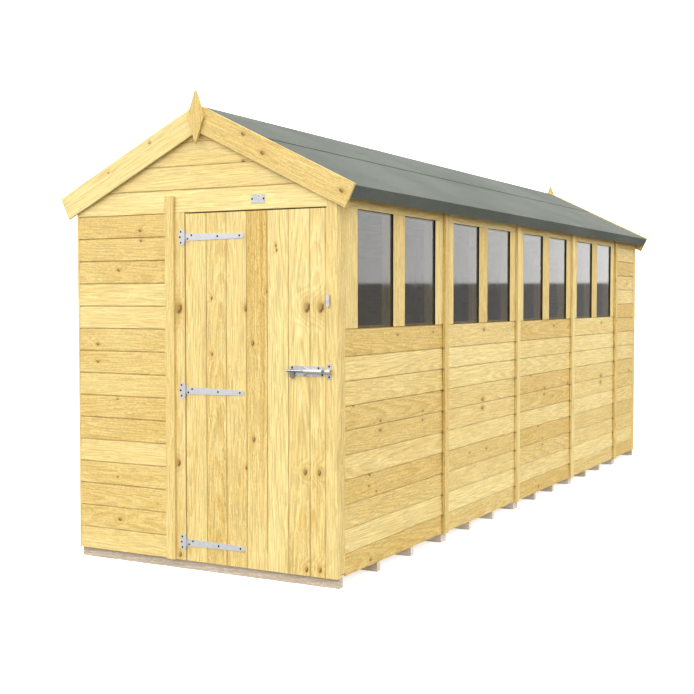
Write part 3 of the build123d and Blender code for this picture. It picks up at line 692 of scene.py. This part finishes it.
# Windows: flat planed jambs, mullions and head boards, nailed over the studs above the lapped boards.
# Two openings are left between them in each full panel, with the panes set back inside.
jamb_tones = (0.42, 0.52, 0.24, 0.4, 0.74, 0.47, 0.4, 0.6, 0.4, 0.4, 0.72, 0.4)
jamb_tone_spread = 0.03
head_tones = (0.2, 0.5)
jambs = [squared_timber(low, high, right_out, strip_arris, knots=[],
                        tone=tone + rng.uniform(-jamb_tone_spread, jamb_tone_spread))
         for tone, (low, high) in zip(jamb_tones, timbers("window_jambs"))]
joinery("window_jamb_boards", jambs, pine_boards, "shed", "pine_boards", "window_jambs")
heads = [squared_timber(low, high, right_out, strip_arris, tone=rng.uniform(*head_tones))
         for low, high in timbers("window_heads")]
joinery("window_head_boards", heads, pine_boards, "shed", "pine_boards", "window_heads")

# Glazing beads: sawn strips nailed behind the panes to hold them in their openings.
# Dark mastic strips, run round by hand, line each opening in front of its pane; their dark colour is painted
# shade in the reveals.
side_seal = 0.0025
level_seal = 0.001
seal_setback = 0.001
seal_arris = 0.0004
pane_gap = 0.001
# Painted shade: the strips are near black to stand for the shade in each reveal.
reveal_shade_brown = (0.030, 0.022, 0.014, 1)
reveal_shade_black = (0.014, 0.011, 0.008, 1)
reveal_shade_mastic = pine("reveal_shade_mastic", reveal_shade_brown, reveal_shade_black)
dress(lengthways, "window_beads")
reveal_strips = []
for low, high in timbers("window_panes"):
    near = np.array([high[0], low[1] - pane_gap, low[2] - pane_gap])
    far = np.array([wall_face - seal_setback, high[1] + pane_gap, high[2] + pane_gap])
    for axis, thickness in ((1, side_seal), (2, level_seal)):
        facing = np.eye(3)[axis]
        first, last = near.copy(), far.copy()
        last[axis] = near[axis] + thickness
        reveal_strips.append(squared_timber(first, last, facing, seal_arris, knots=[]))
        first, last = near.copy(), far.copy()
        first[axis] = far[axis] - thickness
        reveal_strips.append(squared_timber(first, last, -facing, seal_arris, knots=[]))
joinery("shaded_reveal_strips", reveal_strips, reveal_shade_mastic, "shed", "pine_boards")

# Panes: clear sheets laid on the beads from outside, faintly uneven and dusty.
# Lamps shine straight through them, so that the room behind is lit.
pane_tint = (0.64, 0.64, 0.62, 1)
pane_shade = (0.5, 0.49, 0.47, 1)
dust_scales = (9.0, 9.0, 3.0)
ripple_scales = (3.0, 3.0, 2.0)
ripple_depth = 0.001
window_glass, tree, shader = new_finish("window_glass")
spot = put(tree, "TexCoord").outputs["Object"]
dust = speckle(tree, spot, dust_scales, detail=4.0)
shader.inputs["Base Color"].default_value = pane_tint
shader.inputs["Transmission Weight"].default_value = 1.0
shader.inputs["IOR"].default_value = 1.5
tree.links.new(fade(tree, dust, 0.4, 0.8, 0.01, 0.06), shader.inputs["Roughness"])
unevenness = speckle(tree, spot, ripple_scales)
ripple = put(tree, "Bump", {"Strength": 0.05, "Distance": ripple_depth, "Height": unevenness})
tree.links.new(ripple.outputs[0], shader.inputs["Normal"])
paths = put(tree, "LightPath").outputs
passing = reckon(tree, "MAXIMUM", paths["Is Shadow Ray"], paths["Is Diffuse Ray"])
clear = put(tree, "BsdfTransparent", {"Color": pane_shade})
either = put(tree, "MixShader", {0: passing, 1: shader.outputs[0], 2: clear.outputs[0]})
tree.links.new(either.outputs[0], tree.nodes["Material Output"].inputs["Surface"])
dress(window_glass, "window_panes")

# Roof boards: sheets of pressed wood strands, nailed to the purlins and rafters on both slopes.
# Only their undersides show, from inside and under the eaves.
strand_pale = (0.62, 0.46, 0.24, 1)
strand_dark = (0.36, 0.23, 0.09, 1)
flake_scales = (38.0, 14.0, 38.0)
flake_share = 0.7
flake_depth = 0.001
streak_scales = (200.0, 20.0, 200.0)
streak_share = 0.5
strand_board, tree, shader = new_finish("strand_board")
spot = put(tree, "TexCoord").outputs["Object"]
flakes = put(tree, "VectorMath", {0: spot, 1: flake_scales}, operation="MULTIPLY").outputs[0]
chips = put(tree, "TexVoronoi", {"Vector": flakes, "Scale": 1.0, "Randomness": 1.0})
chip_tone = put(tree, "SeparateXYZ", {0: chips.outputs["Color"]}).outputs[0]
streaks = speckle(tree, spot, streak_scales, detail=3.0)
tint = reckon(tree, "MULTIPLY_ADD", streaks, streak_share, reckon(tree, "MULTIPLY", chip_tone, flake_share))
tree.links.new(blend(tree, tint, strand_pale, strand_dark), shader.inputs["Base Color"])
tree.links.new(fade(tree, streaks, 0.3, 0.7, 0.55, 0.8), shader.inputs["Roughness"])
pressed = put(tree, "Bump", {"Strength": 0.5, "Distance": flake_depth, "Height": chip_tone})
tree.links.new(pressed.outputs[0], shader.inputs["Normal"])
dress(strand_board, "left_roof_boards", "right_roof_boards")

# Felt: mineral roofing felt in two sheets turned down over the eaves, with a strip folded over the ridge.
# Grey-green stone grit is rolled into its face.
felt_grey = (0.092, 0.106, 0.085, 1)
felt_pale = (0.128, 0.143, 0.119, 1)
felt_dark = (0.050, 0.057, 0.046, 1)
grit_scale = 520.0
grit_depth = 0.0012
cloud_scales = (2.0, 1.2, 2.0)
mottle_scales = (60.0, 60.0, 60.0)
mineral_felt, tree, shader = new_finish("mineral_felt")
spot = put(tree, "TexCoord").outputs["Object"]
grit = put(tree, "TexVoronoi", {"Vector": spot, "Scale": grit_scale})
grit_tone = put(tree, "SeparateXYZ", {0: grit.outputs["Color"]}).outputs[0]
clouds = speckle(tree, spot, cloud_scales, detail=3.0)
mottle = speckle(tree, spot, mottle_scales, detail=3.0)
felt = blend(tree, fade(tree, clouds, 0.3, 0.7, 0.0, 1.0), felt_grey, felt_pale)
felt = blend(tree, fade(tree, mottle, 0.45, 0.75, 0.0, 0.3), felt, felt_dark)
felt = blend(tree, fade(tree, grit_tone, 0.75, 1.0, 0.0, 0.5), felt, felt_dark)
tree.links.new(felt, shader.inputs["Base Color"])
tree.links.new(fade(tree, grit_tone, 0.0, 1.0, 0.85, 1.0), shader.inputs["Roughness"])
gritty = put(tree, "Bump", {"Strength": 0.6, "Distance": grit_depth, "Height": grit.outputs["Distance"]})
tree.links.new(gritty.outputs[0], shader.inputs["Normal"])
dress(mineral_felt, "left_roof_felt", "right_roof_felt", "ridge_felt")

# Barge boards: planed pine boards nailed over the roof's edges at both ends.
# Each pair is mitred at the apex and sawn square at the eaves.
barge_width = 0.125
barge_proud = 0.012
barge_thickness = 0.014
barge_run = 0.989
barge_gap = 0.0005
barge_arris = 0.002
sheet_half_gap = 0.001
barge_tones = {1: 0.62, -1: 0.16}
barge_knots = ((0.278, 2.189, 0.009), (0.389, 2.091, 0.010), (0.825, 1.89, 0.010))
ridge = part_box("right_roof_boards")[1].z + sheet_half_gap * math.tan(roof_pitch)
slope_cos, slope_sin, slope_tan = math.cos(roof_pitch), math.sin(roof_pitch), math.tan(roof_pitch)
middle = barge_proud - barge_width / 2
for side, hand in ((1, "right"), (-1, "left")):
    bars = []
    for end in (-1, 1):
        out = np.array([0, end, 0.0])
        across = np.array([side * slope_sin, 0, slope_cos])
        along = np.cross(across, out)
        down = np.array([side * slope_cos, 0, -slope_sin])
        top_cut = barge_gap / slope_cos - middle * slope_tan
        from_ridge = along @ down > 0
        near = top_cut if from_ridge else barge_run
        foot = np.array([0, end * abs(front_face), ridge]) + down * near + across * middle
        cuts = (-slope_tan, 0) if from_ridge else (0, slope_tan)
        knots = [((x, front_face, z), r) for x, z, r in barge_knots] if side > 0 > end else None
        section = squared(barge_width, barge_thickness, barge_arris)
        bars.append(bar(foot, along, out, barge_run - top_cut, section, cuts, tone=barge_tones[side],
                        knots=knots))
    joinery(hand + "_barges", bars, pine_boards, "shed", "pine_boards", hand + "_barge_boards")

# Finials: flat diamonds sawn from board with the grain upright, and rounded at their side corners.
# One is nailed over the mitre of the barge boards at each end.
finial_height = 0.270
finial_width = 0.104
finial_corner = 0.030
finial_bevel = 0.0015
finial_thickness = 0.014
finial_tone = 0.75
# Painted shade on the finial's sides, darkest at the back where it lies on the barge boards, fading out over
# the bevel.
finial_side_shade = (0.3, 0.15, 0.0)
finial_pith = np.array([0.4, 0.03, 0.05])
corner_steps = 7


def diamond_outline(inset):
    """Upright diamond as (across, up): straight sides between sharp tips, with an arc at each side corner."""
    half = np.array([finial_width, finial_height]) / 2 - inset
    lean = math.atan2(half[0], half[1])
    centre = half[0] - finial_corner / math.cos(lean)
    turns = np.linspace(-lean, lean, corner_steps)
    right = np.stack([centre + finial_corner * np.cos(turns), finial_corner * np.sin(turns)], -1)
    tip = np.array([[0, half[1]]])
    return np.concatenate([-tip, right, tip, -right])


finials = []
for end, (low, high) in zip((-1, 1), sorted(timbers("finials"), key=lambda solid: solid[0][1])):
    facing = np.array([[-end, 0, 0], [0, 0, 1], [0, end, 0.0]])
    back = (low + high) / 2 - facing[2] * finial_thickness / 2
    rings = [(0.0, 0.0), (0.0, finial_thickness - finial_bevel), (finial_bevel, finial_thickness)]
    local = np.concatenate([np.insert(diamond_outline(inset), 2, depth, 1) for inset, depth in rings])
    count = len(diamond_outline(0.0))
    finials.append({
        "points": back + local @ facing,
        "grain": local[:, (1, 0, 2)] + finial_pith * (end, 1, 1),
        "tone": np.full(len(local), finial_tone),
        "grime_and_shade": np.repeat(finial_side_shade, count),
        **{label: np.tile(no_knot, (len(local), 1)) for label in knot_labels},
        **skin(len(rings), count),
    })
joinery("gable_finials", finials, pine_boards, "shed", "pine_boards", "finials")

# Door: seven matched pine boards with chamfered joints, nailed to ledges and braces on the inside.
# The last board keeps its tongue, which closes the gap towards the lock post.
door_edges = (-0.085, 0.043, 0.163, 0.283, 0.403, 0.523, 0.643, 0.728)
door_tones = ((0.42, 0.3), (0.7, 0.42), (0.62, 0.27), (0.27, 0.98), (0.26, 0.2), (0.55, 0.12), (0.54, 0.2))
door_chamfer = 0.004
joint_soil = 0.55
door_joint = 0.0006
door_back_arris = 0.001
door_stations = 4
door_tongue = 0.0038
tongue_setback = 0.003
tongue_thickness = 0.004
tongue_arris = 0.0005
ledge_arris = 0.004
ledge_tone = 0.5
door_knots = ((0.074, 1.39, 0.007), (0.075, 1.11, 0.007), (0.277, 1.341, 0.012), (0.4, 1.422, 0.006),
              (0.317, 1.169, 0.010), (0.452, 1.644, 0.006), (0.456, 1.622, 0.006), (0.624, 1.346, 0.018),
              (0.701, 1.346, 0.018), (0.278, 0.552, 0.007), (0.322, 0.695, 0.010), (0.615, 0.554, 0.011),
              (0.692, 0.556, 0.011), (0.621, 0.083, 0.010), (0.696, 0.088, 0.010))
low, high = (np.array(corner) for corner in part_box("door_boards"))
up = np.array([0, 0, 1.0])
leaf = []
for left, right, tone in zip(door_edges, door_edges[1:], door_tones):
    width = right - left - door_joint
    foot = ((left + right) / 2, high[1], low[2])
    section = squared(width, high[1] - low[1], door_back_arris, door_chamfer, joint_soil)
    knots = [((x, low[1], z), r) for x, z, r in door_knots if left <= x < right]
    leaf.append(bar(foot, up, front_out, high[2] - low[2], section, stations=door_stations, tone=tone,
                    knots=knots))
tongue_low = np.array([door_edges[-1] - door_joint, low[1] + tongue_setback, low[2]])
tongue_high = np.array([door_edges[-1] + door_tongue, low[1] + tongue_setback + tongue_thickness, high[2]])
leaf.append(squared_timber(tongue_low, tongue_high, front_out, tongue_arris, knots=[],
                           tone=door_tones[-1][1]))
door_pine = pine("door_pine", board_cream, board_honey, ring_share=0.7, fibre_share=0.25)
joinery("door_leaf", leaf, door_pine, "door", "pine_boards", "door_boards")
ledges = [squared_timber(low, high, -front_out, ledge_arris, tone=ledge_tone)
          for low, high in timbers("door_ledges")]
joinery("door_ledge_boards", ledges, framing, "door", "framing_timber", "door_ledges")

# Ironwork: tee hinges, padbolt with its keeper, turn button and bare plate, of pressed steel.
# All of it is dipped in zinc, dull on the hinges and brighter on the bolt, and screwed to the wood.
zinc_light = (0.59, 0.594, 0.61, 1)
zinc_dark = (0.43, 0.435, 0.452, 1)
steel_light = (0.40, 0.405, 0.415, 1)
steel_dark = (0.22, 0.225, 0.235, 1)
plate_light = (0.298, 0.305, 0.308, 1)
plate_dark = (0.186, 0.192, 0.195, 1)
spangle_scale = 190.0
film_scales = (25.0, 25.0, 25.0)
film_depth = 0.0004
film_dulling = 1.5


def coated(name, light, dark, smooth, bare):
    """Zinc-coated steel: spangles as cells of light and dark, under a cloudy film that sets its gloss.

    Smooth is the least roughness, and bare is how far the metal shows through the dull grey of the zinc.
    """
    material, tree, shader = new_finish(name)
    spot = put(tree, "TexCoord").outputs["Object"]
    spangle = put(tree, "TexVoronoi", {"Vector": spot, "Scale": spangle_scale})
    spangle_tone = put(tree, "SeparateXYZ", {0: spangle.outputs["Color"]}).outputs[0]
    film = speckle(tree, spot, film_scales, detail=4.0)
    tint = blend(tree, reckon(tree, "MULTIPLY", spangle_tone, film), light, dark)
    tree.links.new(tint, shader.inputs["Base Color"])
    tree.links.new(fade(tree, film, 0.25, 0.75, smooth, smooth * film_dulling), shader.inputs["Roughness"])
    shader.inputs["Metallic"].default_value = bare
    dents = put(tree, "Bump", {"Strength": 0.15, "Distance": film_depth, "Height": film})
    tree.links.new(dents.outputs[0], shader.inputs["Normal"])
    return material


galvanised = coated("galvanised", zinc_light, zinc_dark, smooth=0.27, bare=0.2)
bolt_steel = coated("bolt_steel", steel_light, steel_dark, smooth=0.18, bare=1.0)
bolt_zinc = coated("bolt_zinc", zinc_light, zinc_dark, smooth=0.22, bare=0.45)
plate_steel = coated("plate_steel", plate_light, plate_dark, smooth=0.18, bare=1.0)
dress(galvanised, "hinge_plates", "hinge_straps", "turn_button", "button_screw")
dress(bolt_zinc, "bolt_plate", "bolt_keeper")
dress(bolt_steel, "sliding_bolt")
dress(plate_steel, "bare_plate")

# Screws: blackened steel with round heads and a cross recess, worn a little in patches.
# They go through the holes of the ironwork into the timber.
screw_radius = 0.0052
screw_crown = 0.0016
recess_half = 0.16
recess_reach = 0.58
recess_depth = 0.0011
screw_rings = np.array([0, 0.1, 0.15, 0.18, 0.3, 0.45, 0.56, 0.62, 0.75, 0.88, 0.96, 1.0])
screw_turns = np.linspace(0, 2 * np.pi, 32, endpoint=False)
screw_black = (0.012, 0.012, 0.015, 1)
screw_worn = (0.03, 0.03, 0.032, 1)
rub_scales = (700.0, 700.0, 700.0)
dark_screw, tree, shader = new_finish("dark_screw")
spot = put(tree, "TexCoord").outputs["Object"]
rub = speckle(tree, spot, rub_scales, detail=3.0)
wear = fade(tree, rub, 0.5, 0.75, 0.0, 1.0)
tree.links.new(blend(tree, wear, screw_black, screw_worn), shader.inputs["Base Color"])
tree.links.new(fade(tree, rub, 0.3, 0.7, 0.55, 0.35), shader.inputs["Roughness"])
shader.inputs["Metallic"].default_value = 0.8


def screw_heads(name, places, body):
    """Screw heads that face the front: a dome over rings and turns, sunk along the slots of its recess."""
    ring, turn = np.meshgrid(screw_rings, screw_turns, indexing="ij")
    across, up = ring * np.cos(turn), ring * np.sin(turn)
    narrow, wide = np.minimum(abs(across), abs(up)), np.maximum(abs(across), abs(up))
    sunk = (narrow < recess_half) & (wide < recess_reach)
    crown = screw_crown * np.sqrt(np.clip(1 - ring ** 2, 0, 1)) - recess_depth * sunk
    head = np.stack([screw_radius * across, -crown, screw_radius * up], -1).reshape(-1, 3)
    count = len(screw_turns)
    around, row = np.arange(count), np.arange(len(screw_rings) - 1)[:, None] * count
    after = np.roll(around, -1)
    quads = np.stack([row + around, row + count + around, row + count + after, row + after], -1)
    points = (np.array(places)[:, None] + head).reshape(-1, 3)
    faces = (np.arange(len(places))[:, None, None] * len(head) + quads.reshape(-1, 4)).reshape(-1, 4)
    mesh = bpy.data.meshes.new(name)
    mesh.from_pydata(points, [], faces.tolist())
    mesh.shade_smooth()
    mesh.materials.append(dark_screw)
    piece = bpy.data.objects.new(name, mesh)
    scene.collection.objects.link(piece)
    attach(piece, body)


plate_screw_places = ((-0.0235, 0.0275), (-0.0285, 0.0005), (-0.0235, -0.0272))
strap_screw_places = ((0.0185, -0.0085), (0.0425, 0.009), (0.2, 0.0), (0.331, 0.0))
hinge_x = -0.0875
hinge_sheet = 0.0025
hinge_rises = [(low[2] + high[2]) / 2 for low, high in timbers("hinge_plates")]
hinge_front = front_face - hinge_sheet
screw_heads("hinge_plate_screws", [(hinge_x + x, hinge_front, z + rise) for rise in hinge_rises
                                   for x, z in plate_screw_places], "shed")
screw_heads("hinge_strap_screws", [(hinge_x + x, hinge_front, z + rise) for rise in hinge_rises
                                   for x, z in strap_screw_places], "door")
bolt_sheet = 0.002
bolt_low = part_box("bolt_plate")[0]
bolt_screw_places = ((0.0135, 0.0085), (0.0135, 0.0415), (0.1595, 0.0405), (0.180, 0.0085))
screw_heads("bolt_plate_screws", [(bolt_low.x + x, front_face - bolt_sheet, bolt_low.z + z)
                                  for x, z in bolt_screw_places], "door")
keeper_screw_inset = 0.012
keeper_low, keeper_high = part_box("bolt_keeper")
keeper_middle = (keeper_low.x + keeper_high.x) / 2
screw_heads("keeper_screws", [(keeper_middle, front_face - bolt_sheet, z)
                              for z in (keeper_low.z + keeper_screw_inset,
                                        keeper_high.z - keeper_screw_inset)], "shed")
plate_screw_inset = 0.006
plate_half_sheet = 0.0008
plate_low, plate_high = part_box("bare_plate")
plate_middle = (plate_low + plate_high) / 2
screw_heads("bare_plate_screws", [(x, plate_middle.y - plate_half_sheet, plate_middle.z)
                                  for x in (plate_low.x + plate_screw_inset,
                                            plate_high.x - plate_screw_inset)], "shed")
